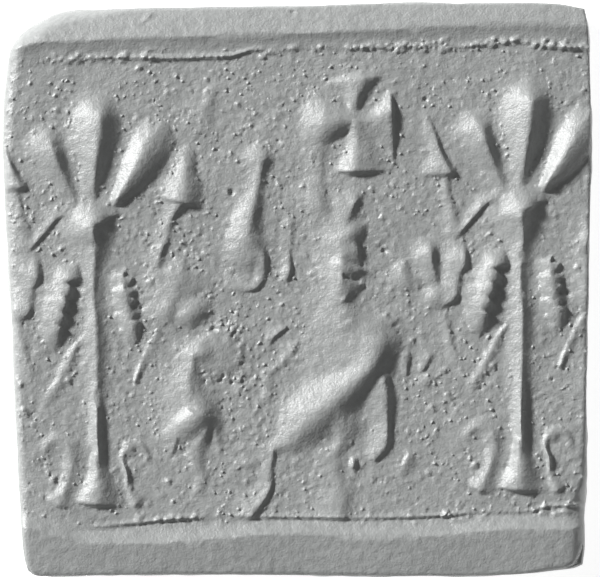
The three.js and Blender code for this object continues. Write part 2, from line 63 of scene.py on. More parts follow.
def along(points, x):
    """A height or amount given at a few places along x, eased between them."""
    p = np.asarray(points, float)
    i = np.clip(np.searchsorted(p[:, 0], x) - 1, 0, len(p) - 2)
    t = np.clip((x - p[i, 0]) / (p[i + 1, 0] - p[i, 0]), 0, 1)
    t = 0.5 * t + 0.5 * t * t * (3 - 2 * t)
    return p[i, 1] * (1 - t) + p[i + 1, 1] * t


def landed(k, x, y):
    """Where a point of the seal's picture lands on the k-th turn."""
    yy = y + CLIMB * k
    return x + k * (TURN + SPREAD * yy), yy


def deep(x):
    return 1 + 0.1 * x / 20


def blurred(z, sigma):
    """Gaussian blur of a whole raster."""
    fy = np.fft.fftfreq(z.shape[0], CELL)[:, None]
    fx = np.fft.rfftfreq(z.shape[1], CELL)[None]
    return np.fft.irfft2(np.fft.rfft2(z) * np.exp(-2 * (math.pi * sigma) ** 2 * (fx * fx + fy * fy)), s=z.shape)


def profile(r, a, b):
    """1 on the crest, 0 at the foot, below 0 outside it."""
    inside = np.power(np.clip(1 - np.power(np.clip(r, 0, 1), a), 0, 1), b)
    return np.where(r < 1, inside, (1 - r) * 1.6)


class Raster:
    def __init__(self):
        self.z = np.zeros((len(GY), len(GX)))

    def window(self, xa, xb, ya, yb):
        i0, i1 = max(0, int((xa - GX[0]) / CELL)), min(len(GX), int((xb - GX[0]) / CELL) + 2)
        j0, j1 = max(0, int((ya - GY[0]) / CELL)), min(len(GY), int((yb - GY[0]) / CELL) + 2)
        return (slice(j0, j1), slice(i0, i1)) if i1 > i0 and j1 > j0 else None

    def mix(self, w, z, k):
        old = self.z[w]
        if k > 0:
            kk = k * np.clip(np.minimum(old, z) / k, 0, 1) + 1e-6
            self.z[w] = np.maximum(old, z) + kk / 4 * np.square(np.clip(1 - np.abs(old - z) / kk, 0, 1))
        elif k == 0:
            self.z[w] = old + np.clip(z, 0, None)
        else:
            self.z[w] = old - np.clip(z, 0, None)

    def stroke(self, joints, lean=0.0, a=1.6, b=1.15, cut=0.0, start=0.0, k=0.08):
        """One cut of the graver through joints (x, y, half width, rise).  lean
        sets the ridge line off towards the left of the travel by that share of
        the half width; cut slopes the last end off over that length, start the
        first one, instead of rounding them.  a and b shape the section, b for
        each side of the travel."""
        p = np.asarray(joints, float)
        if len(p) > 2:
            q = np.vstack([2 * p[0] - p[1], p, 2 * p[-1] - p[-2]])
            path = []
            for i in range(1, len(q) - 2):
                for t in (0, 0.25, 0.5, 0.75):
                    e, f, g, h = q[i - 1 : i + 3]
                    path.append(0.5 * (2 * f + (g - e) * t + (2 * e - 5 * f + 4 * g - h) * t * t + (3 * f - e - 3 * g + h) * t**3))
            p = np.array(path + [p[-1]])
            p[:, 2] = np.maximum(p[:, 2], 0.055)
        m = p[:, 2].max() * 1.3 + 0.27
        w = self.window(p[:, 0].min() - m, p[:, 0].max() + m, p[:, 1].min() - m, p[:, 1].max() + m)
        if w is None:
            return
        x, y = np.meshgrid(GX[w[1]], GY[w[0]])
        n = len(p) - 1
        far, at, lat, past = np.full(x.shape, 1e9), np.zeros(x.shape), np.zeros(x.shape), np.zeros(x.shape)
        for i in range(n):
            (x0, y0), (dx, dy) = p[i, :2], p[i + 1, :2] - p[i, :2]
            run = math.hypot(dx, dy) + 1e-9
            raw = ((x - x0) * dx + (y - y0) * dy) / (run * run)
            t = np.clip(raw, 0, 1)
            d = np.hypot(x - x0 - t * dx, y - y0 - t * dy)
            near = d < far
            cross = (dy * (x - x0) - dx * (y - y0)) / run  # right of the travel
            side, over = np.where(cross >= 0, d, -d), np.zeros(x.shape)
            if i == 0:
                side, over = np.where(raw < 0, cross, side), np.where(raw < 0, -raw * run, over)
            if i == n - 1:
                side, over = np.where(raw > 1, cross, side), np.where(raw > 1, -(raw - 1) * run, over)
            far, at = np.where(near, d, far), np.where(near, i + t, at)
            lat, past = np.where(near, side, lat), np.where(near, over, past)
        at_joint = np.arange(n + 1)
        half, rise = np.interp(at, at_joint, p[:, 2]), np.interp(at, at_joint, p[:, 3])
        s = lat / half
        r = np.where(s < -lean, (-lean - s) / (1 - lean), (s + lean) / (1 + lean))
        drop = 0.0
        if start:
            drop = drop + np.where(past > 0, np.minimum(past / start, 3), 0)
        else:
            r = np.where(past > 0, np.hypot(r, past / half), r)
        if cut:
            drop = drop + np.where(past < 0, np.minimum(-past / cut, 3), 0)
        else:
            r = np.where(past < 0, np.hypot(r, past / half), r)
        b_left, b_right = b if isinstance(b, tuple) else (b, b)
        form = np.where(s < -lean, profile(r, a, b_left), profile(r, a, b_right))
        self.mix(w, rise * (form - drop), k)

    def dome(self, x, y, rx, ry, turn, h, a=2.0, b=1.0, k=0.08):
        """The print of a drilled hollow: an ellipse turned by turn degrees (k 0 adds it, k -1 sinks it)."""
        m = max(rx, ry) * 1.3 + 0.1
        w = self.window(x - m, x + m, y - m, y + m)
        if w is None:
            return
        u, v = GX[w[1]][None] - x, GY[w[0]][:, None] - y
        c, s = math.cos(math.radians(turn)), math.sin(math.radians(turn))
        r = np.hypot((u * c + v * s) / rx, (v * c - u * s) / ry)
        self.mix(w, h * profile(r, a, b), k)


picture = Raster()


def stroke(name, joints, **how):
    for k in (-1, 0, 1):
        print_at = [(*landed(k, x, y), w, h) for x, y, w, h in joints]
        print_at = [(x, y, w, h * deep(x)) for x, y, w, h in print_at]
        if max(j[0] for j in print_at) > -22.5 and min(j[0] for j in print_at) < 22.5:
            picture.stroke(print_at, **how)


def dome(name, x, y, rx, ry, turn, h, **how):
    for k in (-1, 0, 1):
        px, py = landed(k, x, y)
        if abs(px) < 22.5:
            picture.dome(px, py, rx, ry, turn, h * deep(px), **how)


def carve():
    # palm
    stroke("centre frond", [(-13.68, 11.72, 1.89, .73), (-13.81, 10.14, 1.90, .70), (-13.86, 8.29, 1.14, .60), (-14.00, 6.29, .74, .18)], lean=.22, a=1.3, b=(1.96, 1.64))
    stroke("left frond", [(-17.19, 9.67, 1.59, .48), (-16.71, 8.73, 1.22, .55), (-15.88, 7.03, .88, .25), (-15.29, 5.77, .75, .14)], lean=.37, a=1.3, b=(1.96, 1.46))
    stroke("right frond", [(-9.76, 10.12, 1.54, .43), (-10.30, 9.11, 1.46, .62), (-11.29, 7.36, 1.07, .59), (-12.19, 6.05, .48, .50)], lean=-.09, a=1.6, b=(.93, 1.84))
    stroke("crown", [(-15.28, 5.16, 1.28, .13), (-13.83, 5.22, 1.10, .68), (-12.75, 5.50, .73, .24)], lean=-.82, a=1.5, b=(1.33, 1.23))
    stroke("trunk", [(-14.09, 3.99, 2.44, .75), (-13.83, 2.48, 1.47, .43), (-13.90, -.16, 1.14, .33), (-13.72, -2.71, 1.31, .42), (-13.66, -6.14, 1.16, .35), (-13.60, -9.74, .72, .58), (-13.45, -11.75, .58, .50)], lean=.12, a=1.0, b=(2.33, 1.80))
    stroke("foot", [(-13.59, -11.25, .38, .46), (-13.28, -13.17, 1.13, .47), (-13.35, -14.67, 1.83, .47)], lean=-.12, a=1.8, b=(1.99, 1.41), cut=.24)
    stroke("left volute", [(-17.04, -11.39, .40, .05), (-17.10, -10.71, .55, .16), (-16.38, -10.20, .75, .21), (-15.65, -10.45, .97, .21), (-15.32, -10.79, .79, .28), (-15.15, -11.84, .82, .22), (-15.56, -13.41, .69, .24), (-16.03, -14.73, 1.23, .31)], lean=-.10, a=1.2, b=(1.99, 1.24), cut=.27)
    stroke("right volute", [(-10.06, -11.96, .17, .03), (-10.15, -11.40, .31, .10), (-10.40, -10.93, .35, .17), (-10.98, -10.72, .48, .18), (-11.27, -10.92, .65, .20), (-11.79, -11.55, .25, .15), (-11.49, -12.51, .17, .37), (-11.33, -13.57, .30, .15), (-10.72, -14.56, .65, .25)], lean=-.33, a=1.5, b=(1.24, 1.18), cut=.27)
    stroke("far left frond", [(-20.46, 10.77, .20, .04), (-20.20, 9.68, .50, .17), (-19.71, 8.31, .51, .27), (-19.54, 6.83, 1.39, .40)], lean=.63, a=1.6, b=(1.49, 1.25), cut=.34)
    stroke("its stem", [(-19.12, 6.79, .36, .13), (-18.82, 5.04, .44, .13), (-18.39, 2.91, .82, .16)], lean=.23, a=1.3, b=(1.31, 1.00))
    stroke("left upstroke", [(-18.26, 2.87, .33, .20), (-17.30, 4.02, .37, .21), (-16.53, 5.06, .48, .22), (-15.60, 5.54, .46, .10)], lean=-.85, a=1.5, b=(1.50, 1.11))
    stroke("far right frond", [(-7.44, 9.26, .77, .16), (-7.63, 8.13, .97, .36), (-7.76, 7.08, 1.57, .44), (-7.99, 5.94, 1.75, .60)], lean=.12, a=1.7, b=(1.44, 2.14), cut=.34)
    stroke("right stem", [(-8.19, 6.04, 1.16, .41), (-8.64, 4.94, .56, .24), (-9.08, 3.69, .78, .13), (-9.33, 2.72, .52, .25), (-9.80, 1.63, .82, .11)], lean=.41, a=1.1, b=(1.48, 1.38))
    # dates
    stroke("left date 0", [(-17.34, 1.29, .69, .09), (-16.44, .93, .83, .18), (-15.55, .97, .77, .53), (-14.82, 1.20, .84, .23)], lean=-.47, a=1.7, b=(1.25, 1.11), cut=.17)
    stroke("left date 1", [(-17.41, 0, .67, .09), (-16.91, -.04, .47, .15), (-15.93, -.03, 1.03, .47), (-15.59, .35, .63, .48)], lean=-.28, a=2.1, b=(.88, 1.06), cut=.17)
    stroke("left date 2", [(-17.43, -1.08, .64, .16), (-16.92, -1.03, .71, .26), (-16.14, -.87, .98, .55), (-15.78, -.51, .39, .60)], lean=-.48, a=2.2, b=(.84, 1.35), cut=.17)
    stroke("left date 3", [(-17.67, -1.59, .39, .05), (-17.18, -1.72, .80, .20), (-16.38, -1.90, .99, .52), (-15.85, -1.62, .74, .57)], lean=-.11, a=2.0, b=(.82, 1.02), cut=.17)
    stroke("left date 4", [(-18.30, -3.05, .91, .03), (-17.49, -2.73, .47, .03), (-16.56, -2.89, 1.35, .42), (-15.93, -2.72, .18, .59)], lean=.44, a=2.0, b=(.80, .92), cut=.17)
    dome("left cluster end", -16.81, -3.24, 1.78, .94, 63, h=.05, a=3.0, b=.85)
    stroke("right date 0", [(-12.54, .80, .24, .08), (-11.70, .37, 1.08, .35), (-11.45, .44, .42, .27), (-11.28, .39, .44, .28)], lean=.85, a=2.3, b=(.80, .86), cut=.17)
    stroke("right date 1", [(-12.35, -.19, .20, .27), (-11.67, -.49, 1.28, .48), (-11.23, -.30, .30, .40), (-11.10, -.07, .42, .22)], lean=.65, a=2.3, b=(.80, .84), cut=.17)
    stroke("right date 2", [(-12.17, -.91, .29, .33), (-11.46, -1.49, .80, .55), (-11.26, -1.07, .58, .43), (-11.15, -1.14, .22, .04)], lean=.85, a=2.0, b=(.85, 1.15), cut=.17)
    stroke("right date 3", [(-12.17, -1.89, .27, .21), (-11.36, -2.10, 1.07, .48), (-11.27, -2.05, .34, .47), (-10.84, -1.57, .30, .20)], lean=.85, a=2.5, b=(.81, .80), cut=.17)
    stroke("right date 4", [(-11.77, -2.96, .25, .13), (-11.28, -2.84, .55, .38), (-11.03, -2.80, .76, .41), (-10.70, -2.80, .71, .24)], lean=.65, a=2.4, b=(.80, .80), cut=.17)
    dome("right cluster end", -11.14, -3.25, .56, .73, -17, h=.14, a=3.0, b=1.26)
    # palm
    stroke("v1", [(-14.48, -3.36, .20, .14), (-15.01, -4.08, .34, .15), (-15.57, -5.31, .57, .16), (-16.15, -6.48, .50, .16), (-16.87, -7.65, .54, .07)], lean=-.15, a=1.4, b=(1.51, 1.26))
    stroke("v2", [(-19.17, -2.08, .33, .03), (-18.89, -3.22, .48, .11), (-18.53, -4.42, .32, .11), (-18.16, -5.84, .53, .07)], lean=.33, a=1.4, b=(1.06, 1.02))
    stroke("v3", [(-9.31, -3.01, .32, .13), (-9.78, -3.95, .41, .09), (-10.35, -4.96, .27, .12), (-10.88, -6.25, .19, .22)], lean=-.53, a=1.8, b=(1.13, .86))
    stroke("wavy band", [(-18.33, 2.40, .93, .04), (-18.13, .99, 1.07, .41), (-18.38, .09, .82, .22), (-18.68, -1.20, 1.08, .32), (-19.09, -1.74, .70, .25)], lean=.54, a=1.5, b=(2.45, 1.37))
    # group
    dome("g1", 8.79, 2.17, .74, .72, -5, h=.29, a=2.0, b=1.03)
    dome("g2", 7.00, 1.01, .70, 1.52, -22, h=.15, a=2.0, b=1.42)
    dome("g3", 9.61, -.59, 1.27, 1.25, -10, h=.31, a=2.0, b=2.37)
    stroke("g4", [(8.72, 2.51, 1.14, .39), (8.78, 1.63, 1.08, .36), (9.47, -.12, .66, .11)], lean=.44, a=1.2, b=(2.15, 1.56))
    stroke("g5", [(7.18, 1.28, .52, .22), (7.40, .51, .90, .21), (8.64, .38, .33, .03)], lean=.21, a=2.0, b=(.80, 1.29))
    # cross
    stroke("north arm", [(3.81, 11.82, .42, .13), (3.95, 13.26, .83, .39), (3.88, 14.29, 2.05, .36)], lean=-.28, a=1.7, b=(1.42, 1.06), cut=.54)
    stroke("west arm", [(4.10, 11.72, .59, .32), (2.12, 11.57, 1.77, .52), (.88, 11.59, 2.31, .17)], lean=.21, a=1.9, b=(1.23, 1.62), cut=.68)
    stroke("south arm", [(4.36, 11.40, 1.02, .41), (4.67, 9.85, 1.44, .29), (4.73, 8.02, 2.34, .51)], lean=-.35, a=1.6, b=(2.14, 1.94), cut=.34)
    stroke("east arm", [(3.97, 11.24, .54, .39), (5.18, 11.03, 1.29, .30), (6.57, 11.07, 2.85, .47)], lean=.35, a=1.5, b=(1.60, 1.41), cut=.27)
    stroke("band", [(1.32, 10.02, 1.09, .14), (1.26, 7.81, .82, .08), (1.29, 5.68, 1.24, .27), (2.04, 4.38, 1.09, .08)], lean=.28, a=1.5, b=(1.29, 1.69))
    # pear
    stroke("pear body", [(-2.55, 8.83, 1.45, .39), (-2.58, 8.09, .80, .28), (-2.74, 6.96, .89, .25), (-3.42, 4.56, 1.47, .47), (-3.50, 3.25, 1.97, .48)], lean=.20, a=1.5, b=(3.00, 2.00))
    dome("pear bulb", -3.37, 2.85, 1.69, 1.97, 6, h=.35, a=3.5, b=2.93)
    stroke("pear rim", [(-4.62, .35, .41, .08), (-3.62, .31, .58, .14), (-2.91, .23, .39, .23), (-2.40, .94, .44, .17), (-2.60, 2.16, .67, .30), (-2.58, 3.05, .17, .03)], lean=-.55, a=1.9, b=(1.12, 1.06))
    stroke("small drop", [(-.52, 4.47, .44, .09), (-.69, 2.57, .39, .08), (-.66, 1.42, .42, .23), (-.82, .87, .44, .22)], lean=.71, a=1.5, b=(1.30, 1.04))
    # beast
    stroke("ear", [(3.86, 6.28, .94, .32), (3.48, 5.91, 1.19, .31), (2.38, 4.37, 2.20, .28)], lean=.44, a=1.0, b=(2.19, 1.54))
    stroke("muzzle", [(1.66, 3.64, .88, .07), (2.89, 3.38, 1.15, .40), (3.66, 3.92, 1.08, .44)], lean=-.14, a=1.6, b=(1.20, .80))
    # ribs
    stroke("rib 0", [(1.62, 2.30, .62, .06), (2.44, 2.26, .68, .22), (3.11, 2.27, 1.40, .43), (4.27, 2.54, 1.04, .39)], lean=.23, a=2.0, b=(.80, 1.42), cut=.17)
    stroke("rib 1", [(1.75, 1.83, .54, .09), (2.22, 1.61, .72, .20), (3.25, 1.47, .87, .53), (3.55, 1.85, 2.00, .38)], lean=.35, a=2.5, b=(.80, .85), cut=.17)
    stroke("rib 2", [(1.42, .92, .75, .06), (2.20, .82, .93, .21), (3.14, .78, 2.04, .51), (3.25, .79, .62, .30)], lean=.11, a=2.0, b=(1.16, .80), cut=.17)
    stroke("rib 3", [(1.94, -.28, .97, .10), (2.24, -.08, .75, .20), (3.04, -.05, 1.04, .44), (3.13, .33, .48, .28)], lean=-.08, a=2.2, b=(1.04, .80), cut=.17)
    stroke("rib 4", [(1.67, -.91, 1.46, .10), (2.45, -.83, .55, .26), (3.03, -.76, .47, .42), (3.37, -.51, .35, .47)], lean=-.20, a=1.8, b=(1.47, 1.02), cut=.17)
    stroke("rib 5", [(1.93, -1.74, .99, .13), (2.64, -1.76, .62, .30), (3.29, -1.69, .53, .40), (3.42, -1.35, .40, .36)], lean=-.15, a=2.0, b=(.95, .88), cut=.17)
    stroke("rib 6", [(2.10, -2.62, .33, .23), (2.71, -2.40, .66, .31), (3.31, -2.54, .58, .41), (3.84, -2.15, .45, .42)], lean=-.16, a=2.1, b=(.80, .81), cut=.17)
    # beast
    stroke("chest", [(2.70, -.68, 1.52, .31), (3.23, -2.71, 3.44, .36), (4.10, -4.05, 4.28, .48), (4.79, -4.88, 1.87, .65)], lean=.24, a=1.4, b=(2.34, 1.37))
    stroke("body", [(5.21, -3.90, 2.49, .66), (4.69, -5.33, 1.86, .65), (2.26, -7.55, 2.56, .66), (.78, -8.70, 2.69, .56), (-.37, -10.16, 1.55, .29), (-1.39, -10.75, .65, .19)], lean=.14, a=1.8, b=(2.82, 2.56))
    stroke("hind leg", [(-1.95, -10.91, .70, .24), (-2.13, -12.24, .67, .18), (-2.18, -13.57, .64, .25), (-3.42, -14.89, 1.07, .30)], lean=.65, a=1.1, b=(1.86, 1.52))
    stroke("fore leg", [(5.54, -6.17, .94, .37), (5.43, -7.46, 1.43, .39), (5.83, -9.19, .74, .32), (5.61, -10.46, .99, .31), (5.16, -11.43, .50, .22)], lean=.53, a=1.3, b=(1.74, 1.60))
    stroke("fore leg 2", [(2.87, -8.21, 1.20, .49), (3.32, -9.50, 1.41, .29), (3.08, -10.56, .67, .22), (2.13, -11.71, .43, .16)], lean=-.09, a=1.6, b=(1.45, .95))
    stroke("hind leg 2", [(2.33, -11.69, 1.42, .14), (2.33, -12.78, 1.19, .13), (2.69, -13.79, 1.50, .18), (2.56, -15.01, 1.62, .23)], lean=.32, a=1.1, b=(1.85, .97))
    dome("spot", 3.90, -11.90, .29, .51, -6, h=.30, a=2.0, b=1.02)
    stroke("tail", [(.06, -3.43, .26, .04), (-.40, -4.24, .42, .09), (-1.02, -4.95, .36, .09), (-1.93, -5.84, .41, .11), (-1.99, -6.65, .49, .09), (-2.00, -7.58, .38, .08)], lean=.25, a=1.5, b=(1.20, 1.12))
    stroke("tail hook", [(-1.96, -3.73, .24, .11), (-1.85, -3.38, .29, .16), (-1.53, -2.89, .41, .19), (-.78, -2.52, .24, .20)], lean=-.85, a=1.4, b=(1.34, 1.11))
    stroke("claw", [(-4.21, -12.18, .22, .09), (-3.72, -11.96, .32, .08), (-2.85, -11.74, .44, .09)], lean=-.21, a=1.7, b=(.98, .95))
    # figure
    stroke("arm", [(-7.79, 1.36, .98, .26), (-7.91, .74, 2.70, .31), (-8.76, -1.53, 1.58, .34)], lean=-.01, a=1.0, b=(1.47, 1.16))
    dome("head", -8.1, 1.15, .45, .45, 0, h=.25, a=2.0, b=1.0)
    dome("shoulder", -7.08, -1.57, 1.52, 1.14, 26, h=.43, a=2.0, b=1.47)
    dome("waist", -6.55, -4.35, 1.62, 1.27, 15, h=.38, a=2.0, b=1.78)
    stroke("thigh", [(-7.21, -4.49, 1.47, .49), (-7.31, -5.15, 1.40, .33), (-7.75, -6.50, 2.37, .40), (-7.47, -8.09, 2.87, .40)], lean=.22, a=1.1, b=(2.20, 1.93))
    stroke("haunch", [(-6.42, -8.30, 1.53, .51), (-6.64, -8.74, 1.69, .73), (-7.89, -9.62, 1.36, .41), (-8.55, -10.01, 1.19, .10)], lean=-.09, a=1.8, b=(1.79, 1.47))
    stroke("leg", [(-6.03, -9.41, .45, .37), (-6.77, -10.92, .74, .20), (-6.74, -12.06, .53, .16), (-6.33, -12.73, .44, .08), (-6.70, -13.76, .37, .12)], lean=.06, a=1.8, b=(1.45, 1.13))
    stroke("leg 2", [(-5.55, -9.61, .38, .15), (-5.20, -10.73, .30, .07), (-5.32, -11.77, .22, .03)], lean=.19, a=1.8, b=(1.09, .99))
    stroke("leg 3", [(-8.50, -9.98, .65, .32), (-8.64, -11.16, .41, .05)], lean=.70, a=1.6, b=(1.15, .98))
    # patch
    dome("patch", -5.21, -4.37, 1.76, 1.89, -2, h=.16, a=5.0, b=1.43)
    # stick
    stroke("stick", [(-5.69, 13.46, .46, .11), (-6.34, 12.22, .79, .11), (-6.66, 10.94, 1.19, .10)], lean=.13, a=1.3, b=(1.13, .93))
    # marks
    stroke("m1", [(7.80, -11.20, .26, .12), (7.72, -11.71, .42, .19), (7.21, -12.56, .29, .04)], lean=-.68, a=1.9, b=(.98, .80))
    stroke("m2", [(7.29, -4.55, .45, .19), (7.34, -5.74, .27, .15)], lean=.85, a=1.7, b=(1.12, 1.04))
    stroke("m3", [(8.91, -4.55, .36, .10), (8.53, -5.21, .34, .12)], lean=.75, a=1.8, b=(1.12, .80))
    stroke("m4", [(8.75, -6.25, .63, .11), (9.56, -5.92, .23, .08), (10.27, -5.46, .17, .03)], lean=-.07, a=1.6, b=(1.14, 1.28))


carve()

# ------------------------------------------------------------- margins
# heights along x of the step that bounds the sunk band, and of the fine ridges
# that the rims of the seal left inside it
UPPER_STEP = [(-21.5, 15.85), (-19.4, 16.25), (-17.1, 16.7), (-15, 16.75), (-11, 16.95), (-5.8, 17.1), (0.3, 17.25), (5.6, 17.5), (10.6, 17.75), (15.9, 17.9), (20.7, 17.7)]
UPPER_RIDGE = [(-21.5, 15.3), (-16.5, 15.65), (-13.6, 15.85), (-11, 15.85), (-8.4, 15.8), (-4.5, 15.95), (-2.9, 16.4), (-0.4, 16.45), (5, 16.5), (8.4, 16.65), (10.5, 16.55), (12.5, 16.7), (15.2, 16.95), (17.6, 16.6), (20.7, 16.45)]
RIDGE_RISE = [(-21, 0.0), (-17, 0.03), (-15, 0.06), (-12, 0.14), (-10, 0.2), (-4.5, 0.22), (-3, 0.14), (-2.2, 0.04), (4, 0.05), (6, 0.09), (9.5, 0.07), (12, 0.1), (15, 0.08), (16.5, 0.14), (17.6, 0.2), (20.2, 0.22)]
UPPER_FALL = [(-20, 0.5), (-12, 0.4), (0, 0.34), (20, 0.28)]
LOWER_STEP = [(-21.5, -16), (-18.4, -16.2), (-16, -16.8), (-14.5, -17.25), (-9.7, -17.3), (-7.7, -17.1), (-4.5, -16.9), (-2.8, -16.7), (0.5, -16.6), (4.4, -16.85), (7.6, -16.85), (10.5, -16.7), (12, -16.5), (14.5, -16.3), (18.5, -16.3), (20.7, -16)]
LOWER_RIDGE = [(-21.5, -16.25), (-17.5, -16.3), (-13.6, -16.2), (-11.5, -15.95), (-8, -15.6), (-4.8, -15.45), (-0.2, -15.5), (4.1, -15.55), (7.6, -15.5), (10.5, -15.35), (12.4, -15.15), (15.9, -15.1), (17.3, -14.75), (20.7, -14.6)]
LOWER_RISE = [(-21, 0.0), (-17, 0.02), (-13, 0.06), (-11, 0.12), (-7.5, 0.12), (-6, 0.02), (-2.5, 0.06), (-1.5, 0.12), (2.5, 0.12), (3.6, 0.08), (7, 0.12), (11.5, 0.12), (12.4, 0.04), (17, 0.06), (18, 0.12), (20.2, 0.12)]


def margins(z):
    x, y = GX[None], GY[:, None]
    upper, ridge = along(UPPER_STEP, GX)[None], along(UPPER_RIDGE, GX)[None] - 0.1
    lower, seam = along(LOWER_STEP, GX)[None], along(LOWER_RIDGE, GX)[None]
    inside = smooth((upper - 0.4 - y) / 0.55) * smooth((y - lower - 0.55) / 0.7)
    z = z * inside
    # up from the ridge the clay curls up to a crisp lip, then falls off to the edge
    crest = upper + 0.12
    t = np.clip((y - ridge) / (crest - ridge), 0, 1)
    z = z + 0.26 * t**2.0 + 0.05 * smooth((y - ridge + 0.1) / 0.3) - along(UPPER_FALL, GX)[None] * np.clip(y - crest, 0, None)
    z = z + along(RIDGE_RISE, GX)[None] * np.exp(-(((y - ridge) / 0.14) ** 2))
    t = np.clip((lower + 1.05 - y) / 1.05, 0, 1)
    z = z + 0.46 * t**1.7 - 0.12 * np.clip(lower - y, 0, None)
    z = z + along(LOWER_RISE, GX)[None] * (np.exp(-(((y - seam) / 0.13) ** 2)) - 0.6 * np.exp(-(((y - seam + 0.24) / 0.15) ** 2)))
    return z, inside


# ---------------------------------------------------------------- grain
rng = np.random.default_rng(11)
BAND_LOW, BAND_HIGH = -17.3, 15.2
# places of the ground that are rougher or smoother: x, y, reach in x and y, how much
ROUGH = [(-12, 14.4, 5, 1.3, -0.35), (13, 14.6, 3.5, 1.5, -0.3), (5.4, 2.0, 3.1, 4.1, 0.6), (8.4, -3.5, 3.4, 4.8, 0.5), (-6.5, 3.3, 2.7, 4.1, 0.3), (-4.5, -7.5, 2.7, 4.1, 0.3), (-7.9, 11.5, 2, 2.7, 0.3), (-14, 14.2, 6.1, 2, -0.3), (0.3, 14.9, 6.1, 2, -0.25), (-12, -7.5, 2, 6.8, 0.25), (7.1, 13.5, 2, 2, 0.5), (3, -13, 5.4, 2, 0.3), (-16, -10.3, 3.4, 4.1, -0.1)]


def roughness_at(x, y):
    d = 0.34
    for cx, cy, rx, ry, much in ROUGH:
        d = d + much * np.exp(-(((x - cx) / rx) ** 2) - ((y - cy) / ry) ** 2)
    return np.clip(d, 0.04, 1)


def noise(sigma, amount):
    n = blurred(rng.standard_normal((len(GY), len(GX))), sigma)
    return n * (amount / n.std())


def scatter(count, radius, tall, stretch=1.5, sink=False, k=0.034, field=None):
    """Grains that were pits of the seal's surface, so they come round again with each turn."""
    x = rng.uniform(-22, -22 + TURN, count)
    y = rng.uniform(BAND_LOW - 0.6, BAND_HIGH + 1.0, count)
    keep = rng.random(count) < roughness_at(x, y)
    r = radius[0] + (radius[1] - radius[0]) * rng.beta(1.2, 3.2, count)
    h = r * rng.uniform(tall[0], tall[1], count)
    e, turn = rng.uniform(1, stretch, count), rng.uniform(0, 180, count)
    for i in np.nonzero(keep)[0]:
        for n in (-1, 0, 1):
            px, py = landed(n, x[i], y[i])
            if abs(px) < 20.6:
                field.dome(px, py, r[i] * e[i], r[i], turn[i], h[i], k=-1 if sink else k)


clay = picture.z
relief = blurred(clay, 0.045)
heave = blurred(clay, 0.95)
height = relief + 0.55 * heave

# the grain is weaker on the pictures than on the ground
bare = 1 - 0.85 * smooth((relief - 0.03) / 0.15)
grain = Raster()
scatter(15000, (0.055, 0.17), (0.28, 0.58), stretch=2.4, field=grain)
scatter(700, (0.08, 0.22), (0.3, 0.6), stretch=1.9, field=grain)
pits = Raster()
scatter(2200, (0.06, 0.18), (0.3, 0.7), sink=True, field=pits)
GRANULES = [
    # x, y, radius, height
    (-16.3, 12.2, 0.29, 0.23), (-15.2, 9.2, 0.27, 0.2), (-15.5, -6.2, 0.37, 0.34), (-16.6, -13.0, 0.31, 0.24), (-16.9, -12.5, 0.24, 0.2),
    (-18.4, -8.4, 0.27, 0.27), (-17.9, -9.2, 0.27, 0.2), (-17.3, -14.1, 0.27, 0.2), (-9.9, 0.5, 0.37, 0.31), (-6.1, 14.3, 0.24, 0.23),
    (-7.2, 13.5, 0.27, 0.23), (-8.8, 13.4, 0.23, 0.18), (-7.7, 14.4, 0.23, 0.18), (-6.1, 13.5, 0.27, 0.23), (-4.0, 12.6, 0.24, 0.3),
    (-5.7, 14.8, 0.2, 0.16), (-2.9, 14.6, 0.2, 0.16), (-2.7, 10.8, 0.24, 0.18), (-3.7, 10.9, 0.22, 0.18), (-1.2, 7.1, 0.27, 0.22),
    (-1.3, 7.5, 0.18, 0.16), (6.5, 9.2, 0.29, 0.23), (5.1, 6.8, 0.3, 0.3), (5.8, 4.9, 0.31, 0.27), (7.1, 5.5, 0.27, 0.2),
    (3.8, 1.2, 0.27, 0.27), (4.4, 0.3, 0.3, 0.3), (6.1, -1.8, 0.3, 0.29), (7.4, 1.8, 0.2, 0.2), (9.0, -1.3, 0.27, 0.24),
    (10.3, -7.2, 0.34, 0.3), (9.2, -8.0, 0.3, 0.27), (7.9, -3.5, 0.31, 0.24), (9.0, -12.5, 0.31, 0.27), (7.6, -9.7, 0.27, 0.2),
    (12.2, -11.9, 0.34, 0.31), (0.5, 3.6, 0.23, 0.19), (0.7, 2.2, 0.2, 0.18), (1.0, 1.0, 0.23, 0.19), (3.2, -4.6, 0.34, 0.22),
    (1.3, -5.9, 0.23, 0.19), (2.0, -5.6, 0.2, 0.14), (-3.4, -13.1, 0.23, 0.2), (-4.1, -11.8, 0.18, 0.14), (-8.7, -13.1, 0.31, 0.27),
    (-7.3, -10.6, 0.27, 0.23), (-7.5, -8.4, 0.27, 0.14), (-8.3, -0.7, 0.27, 0.14), (-6.3, -0.4, 0.27, 0.2), (-7.7, 3.1, 0.31, 0.23),
    (-7.5, 2.5, 0.27, 0.2), (-11.5, 4.0, 0.27, 0.2), (-18.8, -6.5, 0.27, 0.23), (0.3, 14.0, 0.2, 0.16), (-1.4, 11.6, 0.23, 0.16),
]
for x, y, r, h in GRANULES:
    for n in (-1, 0, 1):
        px, py = landed(n, x, y)
        grain.dome(px, py, r * 0.85, r * 0.62, 35, h * 0.5, k=0.034)
        grain.dome(px + 0.3 * r, py - 0.5 * r, r * 0.5, r * 0.4, 110, h * 0.4, k=0.034)
